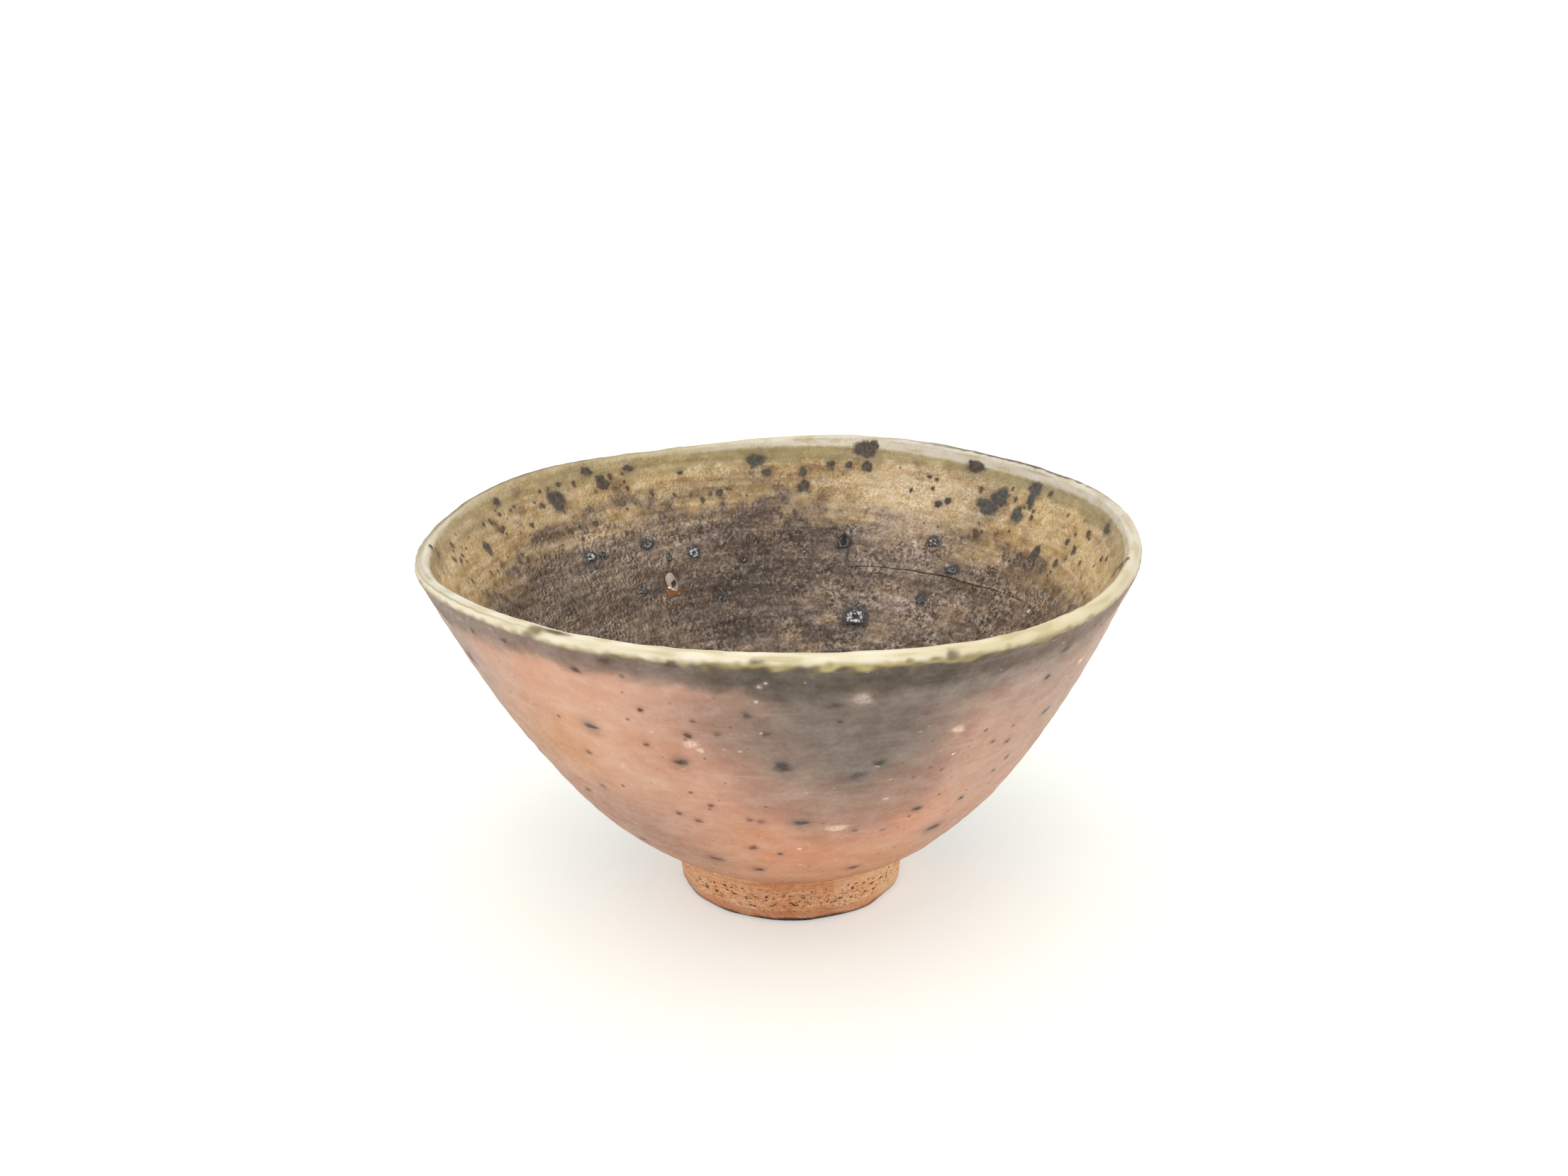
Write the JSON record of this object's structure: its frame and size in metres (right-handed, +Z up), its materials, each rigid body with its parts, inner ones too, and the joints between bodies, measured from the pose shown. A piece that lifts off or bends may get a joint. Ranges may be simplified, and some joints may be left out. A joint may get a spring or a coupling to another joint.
{
  "type": "tea bowl",
  "caption": "Wood-fired stoneware tea bowl with a flared wavy rim, small turned foot ring, pink-tan slip outside, ochre-brown glaze inside and a pale cream lip.",
  "frame": {"origin": "on the table under the middle of the rim, at the middle of the bowl's bounding box", "axes": "+Z up through the bowl, -Y towards the pictured front, +X to the right as seen from the front"},
  "size_m": [0.12, 0.12, 0.0651],
  "materials": {
    "stoneware": "matte",
    "bare_foot": "matte",
    "flashing_slip": "matte",
    "fly_ash": "matte",
    "cream_glaze": "satin",
    "olive_glaze": "satin",
    "brown_glaze": "satin",
    "iron_inside": "satin",
    "iron_outside": "matte",
    "quartz": "satin",
    "blister_glass": "gloss",
    "amber_glass": "gloss"
  },
  "bodies": {
    "root": {"bowl_wall": "stoneware", "foot_ring": "bare_foot", "outside_slip": "flashing_slip", "ash_band": "fly_ash", "lip_glaze": "cream_glaze", "glaze_pool": "olive_glaze", "inside_glaze": "brown_glaze", "iron_spots_inside": "iron_inside", "iron_spots_outside": "iron_outside", "quartz_grit": "quartz", "glass_blisters": "blister_glass", "amber_drop": "amber_glass"}
  },
  "joints": []
}
